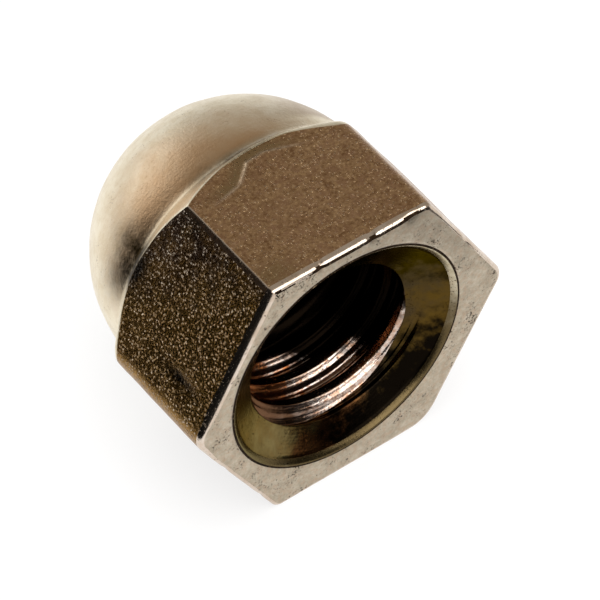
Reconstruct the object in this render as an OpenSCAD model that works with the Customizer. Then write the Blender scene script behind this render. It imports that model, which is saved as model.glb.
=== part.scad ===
// Cap nut: a forged hexagon nut closed by a dome, with a blind tapped hole.
// The nut lies on one flat. The thread axis runs along Y, the mouth faces -Y and the dome +Y.
// The origin is below the middle of the nut, on the surface it lies on. Millimetres.

/* [Hexagon] */
// Width across the flats
across_flats = 19.05; // [17:0.05:24]
// Length of the hexagon at its corners, from the mouth face
corner_length = 8.3; // [6:0.1:10]
// Rounding of the six corners
corner_round = 1.15; // [0.4:0.05:2]
// Break along the edges of the mouth face
edge_break = 0.3; // [0.1:0.05:0.6]

/* [Dome] */
// Overall length, from the mouth face to the crown
overall_length = 19.45; // [17:0.05:24]
// Radius of the dome
dome_radius = 9.15; // [7.5:0.05:9.4]
// Slope of the turned shoulder that cuts back the hexagon's corners, from the axis
shoulder_angle = 45; // [35:1:60]
// Hollow blend where the shoulder meets the dome
shoulder_blend = 1.4; // [0.5:0.1:2.5]

/* [Tapped hole] */
// Nominal diameter of the thread
thread_diameter = 12.7; // [10:0.05:14]
// Threads per inch
threads_per_inch = 13; // [10:1:20]
// Metal left between the drill's point and the crown
crown_wall = 2.2; // [1.5:0.1:4]
// Point angle of the drill that made the hole
drill_angle = 118; // [90:1:140]
// How far the hole is off the hexagon's axis, sideways
hole_offset_x = -0.33; // [-0.5:0.01:0.5]
// How far the hole is off the hexagon's axis, upwards
hole_offset_z = 0.3; // [-0.5:0.01:0.5]

/* [Countersink] */
// Radius of the countersink's rim at the mouth face
rim_radius = 8.02; // [7:0.01:8.4]
// Width and depth of the steep break just inside the rim
rim_break = 0.4; // [0.1:0.05:0.8]
// Included angle of the main cone
sink_angle = 118; // [80:1:130]

/* [Hidden] */
$fn = 96;
MM_PER_INCH = 25.4;
// How far a shape that cuts runs past what it cuts
PAST = 1;
// How deep the shoulder's blend bites into what it joins, so that its ends are clean edges
BLEND_BITE = 0.01;

apothem = across_flats / 2;
side_angle = 60;
pitch = MM_PER_INCH / threads_per_inch;
// The usual tap drill: the nominal diameter less one pitch
hole_radius = (thread_diameter - pitch) / 2;
drill_point = hole_radius / tan(drill_angle / 2);
// Depth of the full-width hole, from the mouth face
hole_depth = overall_length - crown_wall - drill_point;

// Centres of the hexagon's corner arcs, and the reach of a rounded corner, from the axis
arc_centre = (apothem - corner_round) / cos(side_angle / 2);
corner_reach = arc_centre + corner_round;

// The countersink, from its rim down to the hole
cone_radius = rim_radius - rim_break;
cone_depth = rim_break + (cone_radius - hole_radius) / tan(sink_angle / 2);

// The turned outline is drawn with x as the radius and y as the distance from the mouth.
// Its shoulder is a straight line, square to shoulder_out, that passes the corner's end.
dome_base = [0, overall_length - dome_radius];
corner_end = [corner_reach, corner_length];
shoulder_out = [cos(shoulder_angle), sin(shoulder_angle)];
shoulder_along = [sin(shoulder_angle), -cos(shoulder_angle)];
shoulder_start = corner_end + PAST * shoulder_along;

// The blend arc touches the shoulder and the dome from outside
blend_out = (corner_end - dome_base) * shoulder_out + shoulder_blend;
blend_along = sqrt(pow(dome_radius + shoulder_blend, 2) - pow(blend_out, 2));
blend_centre = dome_base + blend_out * shoulder_out + blend_along * shoulder_along;
blend_foot = blend_centre - shoulder_blend * shoulder_out;

// Half of the nut's outline. Beside the corners it is wider than the hexagon, which trims it.
module turned_outline() {
    difference() {
        union() {
            polygon([
                [0, 0],
                [corner_reach - edge_break, 0],
                [corner_reach + PAST, edge_break + PAST],
                shoulder_start,
                blend_foot,
                blend_centre,
                dome_base,
            ]);
            intersection() {
                translate(dome_base) circle(r = dome_radius);
                square([dome_radius + PAST, overall_length + PAST]);
            }
        }
        translate(blend_centre) circle(r = shoulder_blend + BLEND_BITE);
    }
}

// The hexagon with rounded corners, two of them on the X axis
module rounded_hexagon() {
    circle(r = arc_centre, $fn = 6);
    for (side = [0 : 5]) rotate(side_angle * side) {
        translate([arc_centre, 0]) circle(r = corner_round);
        rotate(side_angle / 2)
            translate([0, -arc_centre / 2]) square([apothem, arc_centre]);
    }
}

// Wedges that break the mouth edge of each flat
module flat_edge_breaks() {
    for (side = [0 : 5]) rotate(side_angle * (side + 0.5))
        translate([apothem, 0, 0]) rotate([90, 0, 0])
            linear_extrude(2 * apothem, center = true)
                polygon([
                    [-edge_break - PAST, -PAST],
                    [PAST, -PAST],
                    [PAST, edge_break + PAST],
                ]);
}

// Blind hole at tap-drill size with the drill's point, and the countersink at its mouth
module tapped_hole() {
    rotate_extrude() polygon([
        [0, -PAST],
        [rim_radius, -PAST],
        [rim_radius, 0],
        [cone_radius, rim_break],
        [hole_radius, cone_depth],
        [hole_radius, hole_depth],
        [0, hole_depth + drill_point],
    ]);
}

// The nut with its mouth on the XY plane and its dome towards +Z
module nut_upright() {
    difference() {
        intersection() {
            linear_extrude(overall_length + PAST) rounded_hexagon();
            rotate_extrude() turned_outline();
        }
        flat_edge_breaks();
        translate([hole_offset_x, -hole_offset_z, 0]) tapped_hole();
    }
}

module cap_nut() {
    color("#8d7b67")
        translate([0, -overall_length / 2, apothem])
            rotate([-90, 0, 0]) nut_upright();
}

cap_nut();
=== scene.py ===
"""A forged cap nut in worn nickel-plated steel, lying on one of its flats under soft studio light.

Lengths are in millimetres and turn to metres where a mesh, a lamp or a texture is made. The nut
is described from its mouth: depth runs from the mouth face towards the dome, along +Y.
"""

import logging
import math
from dataclasses import dataclass, field, replace
from enum import Enum
from functools import partial

import bpy
import numpy as np
from mathutils import Matrix, Vector, noise


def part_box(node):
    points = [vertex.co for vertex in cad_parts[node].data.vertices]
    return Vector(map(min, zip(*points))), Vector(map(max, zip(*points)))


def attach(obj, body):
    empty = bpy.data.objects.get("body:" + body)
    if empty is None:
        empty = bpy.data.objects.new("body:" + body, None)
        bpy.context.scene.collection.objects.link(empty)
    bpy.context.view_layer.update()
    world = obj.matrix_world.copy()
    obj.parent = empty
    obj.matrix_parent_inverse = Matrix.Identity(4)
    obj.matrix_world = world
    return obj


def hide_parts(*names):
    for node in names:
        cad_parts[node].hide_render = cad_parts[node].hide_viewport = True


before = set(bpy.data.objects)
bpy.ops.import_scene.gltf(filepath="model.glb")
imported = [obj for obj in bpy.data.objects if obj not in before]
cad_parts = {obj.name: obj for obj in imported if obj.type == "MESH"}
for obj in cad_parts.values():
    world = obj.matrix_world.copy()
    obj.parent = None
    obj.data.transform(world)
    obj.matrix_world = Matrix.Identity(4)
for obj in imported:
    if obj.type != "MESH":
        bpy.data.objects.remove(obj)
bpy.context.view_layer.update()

NODE = "cap_nut"
MM = 0.001
FULL_TURN = 2 * math.pi
# Sine and cosine of the shoulder's 45 degrees, and the tangent of half that angle
DIAGONAL = math.sqrt(0.5)
HALF_BEND = math.tan(math.radians(22.5))
# The mesh's own masks, by name: where a highlight is painted, and where shade is painted and
# grease lies
PAINTED_HIGHLIGHT = "painted_highlight"
SHADE_AND_GREASE = "shade_and_grease"
# A normal that points up at least this much lies on the upper flat
UPWARDS = 0.97

# Sockets of the Mix node, for numbers and for colours
NUMBER_A, NUMBER_B, NUMBER_MIX = 2, 3, 0
COLOUR_A, COLOUR_B, COLOUR_MIX = 6, 7, 2

Tree = bpy.types.NodeTree
Socket = bpy.types.NodeSocket
Pair = tuple[float, float]
Triple = tuple[float, float, float]

log = logging.getLogger("cap_nut")


class Finish(Enum):
    """The nut's finishes. Each value is the finish's place among the mesh's materials."""

    FORGED = 0
    TURNED = 1
    FACED = 2
    # Worn edges, also painted paler as highlights
    WORN_AND_SHEEN = 3
    COUNTERSUNK = 4
    TAPPED = 5
    # Painted shade along edges and where the rim meets the mouth
    SHADE_LINES = 6
    # Forging scale, painted darker as shade
    SCALED = 7
    # The rim's break, painted pale as a sheen and darker as shade
    RIM = 8


class ToolMarks(Enum):
    """Which way a cutting tool left its fine marks."""

    NONE = "none"
    FACING = "facing"
    TURNING = "turning"


def linear(hex_colour: str) -> tuple[float, float, float, float]:
    """Turns an sRGB hex colour to linear light.

    Args:
        hex_colour: Six hex digits, such as "8d7b67".

    Returns:
        Red, green, blue and an alpha of 1.
    """
    parts = [int(hex_colour[i : i + 2], 16) / 255 for i in (0, 2, 4)]
    light = [c / 12.92 if c <= 0.04045 else ((c + 0.055) / 1.055) ** 2.4 for c in parts]
    return (light[0], light[1], light[2], 1.0)


def add(tree: Tree, kind: str, inputs: dict | None = None, **settings: object) -> bpy.types.Node:
    """Adds a node with its settings, values and links.

    Args:
        tree: The tree that gets the node.
        kind: The node's type.
        inputs: A value, or an output socket to link, for each input's name or number.
        **settings: The node's own settings.

    Returns:
        The new node.
    """
    node = tree.nodes.new(kind)
    for name, value in settings.items():
        setattr(node, name, value)
    for key, value in (inputs or {}).items():
        if isinstance(value, bpy.types.NodeSocket):
            tree.links.new(value, node.inputs[key])
        else:
            node.inputs[key].default_value = value
    return node


def mixed(tree: Tree, share: Socket, first: Socket | tuple, second: Socket | tuple) -> Socket:
    """Mixes two colours.

    Args:
        tree: The tree that gets the node.
        share: How much of the second colour there is.
        first: A colour or an output that gives one.
        second: Another.

    Returns:
        The output that gives the mixture.
    """
    inputs = {0: share, COLOUR_A: first, COLOUR_B: second}
    return add(tree, "ShaderNodeMix", inputs, data_type="RGBA").outputs[COLOUR_MIX]


def arithmetic(tree: Tree, operation: str, *values: float | Socket, **settings: bool) -> Socket:
    """Does one step of arithmetic.

    Args:
        tree: The tree that gets the node.
        operation: The Math node's operation.
        *values: Its inputs.
        **settings: Its other settings.

    Returns:
        The output that gives the result.
    """
    inputs = dict(enumerate(values))
    return add(tree, "ShaderNodeMath", inputs, operation=operation, **settings).outputs[0]


def ranged(
    tree: Tree,
    value: Socket,
    spread: Pair,
    results: tuple[float | Socket, float | Socket] = (0.0, 1.0),
    soft: bool = False,
) -> Socket:
    """Turns a range of values into another, and holds what lies beyond it.

    Args:
        tree: The tree that gets the node.
        value: The output to read.
        spread: The value that gives the first result, and the one that gives the second.
        results: The two results.
        soft: Whether the change starts and ends gently.

    Returns:
        The output that gives the result.
    """
    inputs = {"Value": value, "From Min": spread[0], "From Max": spread[1]}
    inputs |= {"To Min": results[0], "To Max": results[1]}
    way = "SMOOTHSTEP" if soft else "LINEAR"
    return add(tree, "ShaderNodeMapRange", inputs, interpolation_type=way).outputs[0]


def bare_tree(owner: bpy.types.Material | bpy.types.World) -> Tree:
    """Clears the nodes of a new material or world.

    Args:
        owner: The material or the world.

    Returns:
        Its empty tree.
    """
    owner.use_nodes = True
    owner.node_tree.nodes.clear()
    return owner.node_tree


def placed(name: str, data: bpy.types.ID) -> bpy.types.Object:
    """Puts a mesh, a lamp or a camera into the scene.

    Args:
        name: The object's name.
        data: What it shows.

    Returns:
        The object.
    """
    made = bpy.data.objects.new(name, data)
    bpy.context.scene.collection.objects.link(made)
    return made


def eased(value: np.ndarray) -> np.ndarray:
    """Smooth step from 0 to 1."""
    part = np.clip(value, 0.0, 1.0)
    return part * part * (3 - 2 * part)


@dataclass(frozen=True)
class ShadeAndStain:
    """A darker tone that sets in along one direction, mostly painted shade and painted reflections.

    clear and full are distances along that direction, from the object's origin, at which the
    tone begins and is complete. ragged is how far its edge wanders. behind is the Y at which
    the tone may begin, and ease how far it takes to do so.
    """

    colour: str
    along: Triple
    clear: float
    full: float
    ragged: float = 1.0
    ragged_size: float = 1.2
    behind: float | None = None
    ease: float = 0.8


# What each cloud of noise counts as none and as all: the patches, the grain's tone, the tint
PATCH_SPREAD = (0.38, 0.62)
GRAIN_SPREAD = (0.35, 0.65)
TINT_SPREAD = (0.45, 0.75)
# The grain's tone is a little coarser than its relief. The tint is finer than the patches.
GRAIN_TONE_SIZE = 1.3
TINT_SIZE = 0.4
# Roughness of the dark patches and of the pale ones, as shares of the finish's own
ROUGH_SHARES = (1.15, 0.9)
# What a mask counts on the darkest patches. On the palest it counts 1 more.
MASK_START = 0.5
# Size of a group of specks, in specks
SPECK_GROUP = 9
# Beads, in spacings: the detail of the noise that bends them, how far it does so, and the
# distances from a bead's middle at which it begins and is at its top
BEAD_DETAIL = 2
BEAD_BEND = 1.1
BEAD_EDGES = (0.45, 0.08)
# The power that keeps most beads low
BEAD_POWER = 1.5


@dataclass(frozen=True)
class NickelPlate:
    """Nickel plate over steel, as one way of working the blank left it.

    The plate is thin and follows the steel under it, so each finish differs in its grain, its
    specks and its tool marks, and in how brown it is. Some finishes also carry painted shade,
    painted highlights, painted glints and painted reflections. Sizes are in millimetres.
    """

    name: str
    # The pale and the dark tone, a tint that covers parts of both, and the specks' colour
    plate: str
    shade: str
    tint: str
    speck: str
    roughness: float
    # Sizes of the broad patches and of the grain, and the grain's depth
    patch: float
    grain: float
    grain_depth: float
    # How much of the tone follows the grain instead of the patches
    grain_tone: float = 0.2
    speck_size: float = 0.13
    # Where the speck noise turns into a speck, higher is rarer, and how softly it does so
    speck_level: float = 0.66
    speck_edge: float = 0.04
    # How strongly the specks gather in groups
    speck_groups: float = 0.5
    # Less than 0 where the specks stand up
    speck_depth: float = 0.01
    # Spacing of rough beads, the share of places that have one, their height, and the colour
    # painted on them as glints
    bead: float = 0.0
    bead_share: float = 0.5
    bead_height: float = 0.02
    glint_tone: str = ""
    marks: ToolMarks = ToolMarks.NONE
    mark_width: float = 0.12
    mark_depth: float = 0.0
    axis_height: float = 9.525
    # Painted shade and painted reflections, each laid on along one direction
    shades_and_stains: tuple[ShadeAndStain, ...] = ()
    # 0 where thick dirt hides the metal
    metallic: float = 1.0
    # What a film of oil leaves of the light that only grazes the metal
    grazing: str = "ffffff"
    # Colours of the places that the mesh marks for a painted highlight and for painted shade and
    # grease, if it does
    painted_highlight: str = ""
    shade_and_grease: str = ""

    def material(self) -> bpy.types.Material:
        """Builds the finish's material.

        Returns:
            The material, with its nodes.
        """
        made = bpy.data.materials.new(self.name)
        tree = bare_tree(made)
        place = add(tree, "ShaderNodeTexCoord").outputs["Object"]
        broad = self._cloud(tree, place, self.patch, PATCH_SPREAD)
        fine = self._cloud(tree, place, self.grain * GRAIN_TONE_SIZE, GRAIN_SPREAD)
        both = {0: self.grain_tone, NUMBER_A: broad, NUMBER_B: fine}
        patches = add(tree, "ShaderNodeMix", both).outputs[NUMBER_MIX]
        tinted = self._cloud(tree, place, self.patch * TINT_SIZE, TINT_SPREAD)
        specks = self._specks(tree, place)
        colour = mixed(tree, patches, linear(self.shade), linear(self.plate))
        colour = mixed(tree, tinted, colour, linear(self.tint))
        colour = mixed(tree, specks, colour, linear(self.speck))
        # Tones laid on along a direction: mostly painted shade and painted reflections
        for shade_and_stain in self.shades_and_stains:
            colour = mixed(tree, self._cover(tree, place, shade_and_stain), colour, linear(shade_and_stain.colour))
        beads = None
        if self.bead:
            beads = self._beads(tree, place)
            # The beads are painted paler towards their tops, as glints
            colour = mixed(tree, beads, colour, linear(self.glint_tone))
        # The mesh's masks: a painted highlight, and painted shade with some grease
        for mask, tone in ((SHADE_AND_GREASE, self.shade_and_grease), (PAINTED_HIGHLIGHT, self.painted_highlight)):
            if tone:
                marked = add(tree, "ShaderNodeAttribute", attribute_name=mask).outputs["Fac"]
                count = arithmetic(tree, "ADD", patches, MASK_START)
                share = arithmetic(tree, "MULTIPLY", marked, count, use_clamp=True)
                colour = mixed(tree, share, colour, linear(tone))
        rough = tuple(self.roughness * share for share in ROUGH_SHARES)
        shader = add(
            tree,
            "ShaderNodeBsdfPrincipled",
            {
                "Base Color": colour,
                "Metallic": self.metallic,
                "Specular Tint": linear(self.grazing),
                "Roughness": ranged(tree, patches, (0.0, 1.0), rough),
                "Normal": self._relief(tree, place, specks, beads),
            },
        )
        add(tree, "ShaderNodeOutputMaterial", {"Surface": shader.outputs[0]})
        return made

    def _cloud(self, tree: Tree, place: Socket, size: float, spread: Pair = (0.0, 1.0)) -> Socket:
        """Cloudy noise of one size, stretched so that spread reads as 0 and 1."""
        inputs = {"Vector": place, "Scale": 1 / (size * MM), "Detail": 4.0, "Roughness": 0.6}
        return ranged(tree, add(tree, "ShaderNodeTexNoise", inputs).outputs[0], spread)

    def _specks(self, tree: Tree, place: Socket) -> Socket:
        """Small irregular specks that gather in loose groups.

        Args:
            tree: The material's tree.
            place: Object coordinates.

        Returns:
            The output that gives 1 inside a speck.
        """
        fine = self._cloud(tree, place, self.speck_size)
        groups = self._cloud(tree, place, self.speck_size * SPECK_GROUP)
        raised = arithmetic(tree, "MULTIPLY_ADD", groups, self.speck_groups, fine)
        level = self.speck_level + self.speck_groups / 2
        return ranged(tree, raised, (level, level + self.speck_edge))

    def _beads(self, tree: Tree, place: Socket) -> Socket:
        """Rough beads at random places.

        Args:
            tree: The material's tree.
            place: Object coordinates.

        Returns:
            The output that gives 0 beside a bead and at most 1 on its top.
        """
        size = self.bead * MM
        waves = {"Vector": place, "Scale": BEAD_DETAIL / size}
        wobble = add(tree, "ShaderNodeTexNoise", waves).outputs["Color"]
        bent = {0: wobble, 1: (BEAD_BEND * size,) * 3, 2: place}
        moved = add(tree, "ShaderNodeVectorMath", bent, operation="MULTIPLY_ADD").outputs[0]
        cells = add(tree, "ShaderNodeTexVoronoi", {"Vector": moved, "Scale": 1 / size}).outputs
        chance = add(tree, "ShaderNodeSeparateColor", {0: cells["Color"]}).outputs[0]
        there = ranged(tree, chance, (1 - self.bead_share, 1.0))
        top = arithmetic(tree, "POWER", there, BEAD_POWER)
        return ranged(tree, cells["Distance"], BEAD_EDGES, (0.0, top), soft=True)

    def _cover(self, tree: Tree, place: Socket, shade_and_stain: ShadeAndStain) -> Socket:
        """How far a tone covers the plate, from 0 to 1.

        Args:
            tree: The material's tree.
            place: Object coordinates.
            shade_and_stain: The stain.

        Returns:
            The output that gives it.
        """
        towards = Vector(shade_and_stain.along).normalized()
        run = add(tree, "ShaderNodeVectorMath", {0: place, 1: towards}, operation="DOT_PRODUCT")
        spread = (0.5, 0.5 + 0.5 / (shade_and_stain.ragged * MM))
        wander = self._cloud(tree, place, shade_and_stain.ragged_size, spread)
        wander.node.clamp = False
        moved = arithmetic(tree, "ADD", run.outputs["Value"], wander)
        cover = ranged(tree, moved, (shade_and_stain.clear * MM, shade_and_stain.full * MM), soft=True)
        if shade_and_stain.behind is None:
            return cover
        depth = add(tree, "ShaderNodeSeparateXYZ", {0: place}).outputs["Y"]
        ends = (shade_and_stain.behind * MM, (shade_and_stain.behind + shade_and_stain.ease) * MM)
        return ranged(tree, depth, ends, (0.0, cover), soft=True)

    def _relief(self, tree: Tree, place: Socket, specks: Socket, beads: Socket | None) -> Socket:
        """Grain, tool marks, specks and beads, too fine for the mesh.

        Args:
            tree: The material's tree.
            place: Object coordinates.
            specks: 1 inside a speck.
            beads: The beads' height, from 0 to 1, where the finish has any.

        Returns:
            The bumped normal.
        """
        reliefs = [(self._cloud(tree, place, self.grain), self.grain_depth)]
        if self.marks is not ToolMarks.NONE:
            inputs = {"W": self._across_marks(tree, place), "Scale": 1.0, "Detail": 2.0}
            lines = add(tree, "ShaderNodeTexNoise", inputs, noise_dimensions="1D")
            reliefs.append((lines.outputs[0], self.mark_depth))
        reliefs.append((specks, -self.speck_depth))
        if beads is not None:
            reliefs.append((beads, self.bead_height))
        normal = None
        for height, depth in reliefs:
            inputs = {"Height": height, "Distance": abs(depth) * MM, "Strength": 1.0}
            if normal is not None:
                inputs["Normal"] = normal
            normal = add(tree, "ShaderNodeBump", inputs, invert=depth < 0).outputs[0]
        return normal

    def _across_marks(self, tree: Tree, place: Socket) -> Socket:
        """Counts tool marks: outwards from the axis when facing, along it when turning.

        Args:
            tree: The material's tree.
            place: Object coordinates.

        Returns:
            The output that gives the count.
        """
        if self.marks is ToolMarks.FACING:
            vectors = partial(add, tree, "ShaderNodeVectorMath")
            axis = (0.0, 0.0, self.axis_height * MM)
            centred = vectors({0: place, 1: axis}, operation="SUBTRACT").outputs[0]
            flat = vectors({0: centred, 1: (1.0, 0.0, 1.0)}, operation="MULTIPLY").outputs[0]
            run = vectors({0: flat}, operation="LENGTH").outputs["Value"]
        else:
            run = add(tree, "ShaderNodeSeparateXYZ", {0: place}).outputs["Y"]
        return arithmetic(tree, "MULTIPLY", run, 1 / (self.mark_width * MM))


# Forged steel keeps a scale-blasted grain. Its beads and raised specks are painted a little
# paler, as glints.
FORGED = NickelPlate(
    name="nickel_plate_over_forged_steel",
    plate="c8a47a",
    shade="846040",
    tint="a88264",
    speck="c8ae8c",
    roughness=0.25,
    patch=1.3,
    grain=0.15,
    grain_depth=0.036,
    grain_tone=0.8,
    speck_size=0.12,
    speck_level=0.64,
    speck_edge=0.16,
    speck_groups=0.2,
    speck_depth=-0.014,
    bead=0.17,
    bead_share=0.7,
    bead_height=0.064,
    glint_tone="ccb08c",
    # The highlight painted on the crease's lip
    painted_highlight="d8c4a8",
    # The tone of painted shade past the crease and of grease
    shade_and_grease="967e5a",
)

# One flat kept its forging scale, which leaves its plate rough. It is painted darker and browner
# than the other flats, as shade, and darker still towards its upper corner and the shoulder. Its
# tallest grains are painted pale, as glints.
SCALED = replace(
    FORGED,
    name="nickel_plate_over_forging_scale_painted_darker",
    plate="9c742c",
    shade="7c5820",
    tint="947034",
    roughness=0.24,
    patch=1.6,
    grain=0.13,
    grain_depth=0.033,
    grain_tone=0.65,
    bead_share=0.9,
    bead_height=0.135,
    glint_tone="e6d8c6",
    painted_highlight="",
    # The tone of painted shade in the flat's groove
    shade_and_grease="241a0c",
    shades_and_stains=(ShadeAndStain("402c18", (-0.5, 0.3, 0.81), 13.8, 17.6, 2.5, 1.1),),
)

# The dome and its shoulder were turned and tumbled, which leaves a satin with faint rings. The
# plate is painted browner where it faces the camera, as the dim warm reflection there, and
# darker towards its right, as shade.
TURNED = NickelPlate(
    name="nickel_plate_over_turned_steel",
    plate="f4e9d0",
    shade="ebddc0",
    tint="e2d2b2",
    speck="6c543c",
    roughness=0.32,
    patch=1.7,
    grain=0.2,
    grain_depth=0.024,
    grain_tone=0.35,
    speck_size=0.12,
    speck_level=0.65,
    speck_edge=0.14,
    speck_depth=0.005,
    marks=ToolMarks.TURNING,
    mark_width=0.22,
    mark_depth=0.006,
    shades_and_stains=(
        ShadeAndStain("c8a27a", (-0.386, -0.532, 0.754), 9.4, 15.0, 1.6, 2.2, behind=0.0),
        ShadeAndStain("b49e82", (0.9, -0.2, 0.4), 8.0, 12.5, 1.5, 2.0, behind=1.0),
    ),
    # The tone of painted shade on the shoulder and the dome
    shade_and_grease="382a0e",
)

# The mouth was faced in a lathe. It is pale and even, with small dark pits and fine rings.
FACED = NickelPlate(
    name="nickel_plate_over_faced_steel",
    plate="c2b6a2",
    shade="a09480",
    tint="b49c84",
    speck="443828",
    roughness=0.38,
    patch=0.9,
    grain=0.13,
    grain_depth=0.014,
    grain_tone=0.5,
    speck_size=0.15,
    speck_level=0.605,
    speck_edge=0.14,
    speck_groups=0.8,
    speck_depth=0.008,
    marks=ToolMarks.FACING,
    mark_width=0.12,
    mark_depth=0.0015,
)

# Handling polished the edges, which flash white where they face a lamp. Their plate is also
# painted paler, as highlights along them.
WORN_AND_SHEEN = NickelPlate(
    name="nickel_plate_worn_and_painted_bright_at_the_edges",
    plate="dccec0",
    shade="c4b09c",
    tint="ccb8a4",
    speck="5c4c3c",
    roughness=0.2,
    patch=1.5,
    grain=0.4,
    grain_depth=0.01,
)

# Old cutting oil has stained the countersink's plate olive. It is painted browner and darker
# towards its right and its lower right, nearly black in patches there, and dark along its top,
# as shade and the dark it mirrors.
COUNTERSUNK = NickelPlate(
    name="nickel_plate_over_countersunk_steel",
    plate="786a44",
    shade="58482a",
    tint="6c5630",
    speck="2a2018",
    roughness=0.18,
    grazing="d6ccb4",
    patch=2.2,
    grain=0.3,
    grain_depth=0.01,
    marks=ToolMarks.FACING,
    mark_width=0.12,
    mark_depth=0.004,
    shades_and_stains=(
        ShadeAndStain("5a3a20", (0.35, 0.0, -0.94), -5.0, -3.8, 1.6, 1.2),
        ShadeAndStain("3c3224", (0.98, 0.0, 0.2), 1.0, 5.0, 3.0, 1.6),
        ShadeAndStain("544018", (0.9, 0.0, -0.45), -0.8, 2.6, 2.5, 1.3),
        ShadeAndStain("0e0a06", (0.5, 0.0, -0.87), -4.7, -2.2, 3.4, 1.0),
        ShadeAndStain("1c160e", (0.3, 0.0, 0.95), 11.4, 15.2, 5.0, 1.0),
    ),
)

# The rim's break is painted pale under a film of oil, as a sheen, and darker towards its left
# and its lower side, as shade.
RIM = NickelPlate(
    name="nickel_plate_painted_pale_on_the_rim",
    plate="ccc2ac",
    shade="a0967c",
    tint="b4a286",
    speck="4c3c2c",
    roughness=0.26,
    grazing="ece4d0",
    patch=1.2,
    grain=0.2,
    grain_depth=0.01,
    shades_and_stains=(
        ShadeAndStain("6c6240", (-1.0, 0.0, -0.2), 1.0, 5.0, 2.0, 1.5),
        ShadeAndStain("5c4e34", (0.3, 0.0, -0.95), -9.5, -4.5, 3.0, 1.5),
    ),
)

# The tap tore the steel a little. The coppery patches, strongest on the left, are painted
# reflections. The bore is painted darker with its depth and at its upper right, as shade, and
# browner on its left.
TAPPED = NickelPlate(
    name="nickel_plate_over_tapped_steel",
    plate="e2d4ca",
    shade="b0907c",
    tint="a8744c",
    speck="30241c",
    roughness=0.16,
    grazing="c8b4a4",
    patch=0.9,
    grain=0.13,
    grain_depth=0.014,
    shades_and_stains=(
        ShadeAndStain("6a4e3a", (-1.0, 0.0, 0.0), 0.6, 3.4, 2.0, 0.8),
        ShadeAndStain("a0643c", (-1.0, 0.0, 0.0), 0.5, 3.5, 7.0, 1.0, behind=-7.0),
        ShadeAndStain("080503", (0.573, 0.819, 0.0), -3.9, -2.9, 1.0, 0.8),
        ShadeAndStain("0a0604", (0.8, 0.0, 0.6), 8.2, 10.2, 1.5, 0.8),
    ),
)

# Painted shade: matt, nearly black lines where the rim meets the mouth and along rounded edges,
# which stand in for the shade there and for the dark that those edges mirror.
SHADE_LINES = NickelPlate(
    name="painted_shade_on_nickel_plate",
    plate="20160c",
    shade="0e0904",
    tint="2c1e12",
    speck="6a5a44",
    metallic=0.0,
    grazing="44301c",
    roughness=0.85,
    patch=0.6,
    grain=0.12,
    grain_depth=0.01,
)

FINISHES = {
    Finish.FORGED: FORGED,
    Finish.TURNED: TURNED,
    Finish.FACED: FACED,
    Finish.WORN_AND_SHEEN: WORN_AND_SHEEN,
    Finish.COUNTERSUNK: COUNTERSUNK,
    Finish.TAPPED: TAPPED,
    Finish.SHADE_LINES: SHADE_LINES,
    Finish.SCALED: SCALED,
    Finish.RIM: RIM,
}


@dataclass
class Ring:
    """One closed row of points round the nut's axis, and the finish of the strip after it."""

    across: np.ndarray
    up: np.ndarray
    depth: np.ndarray
    finish: Finish


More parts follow.
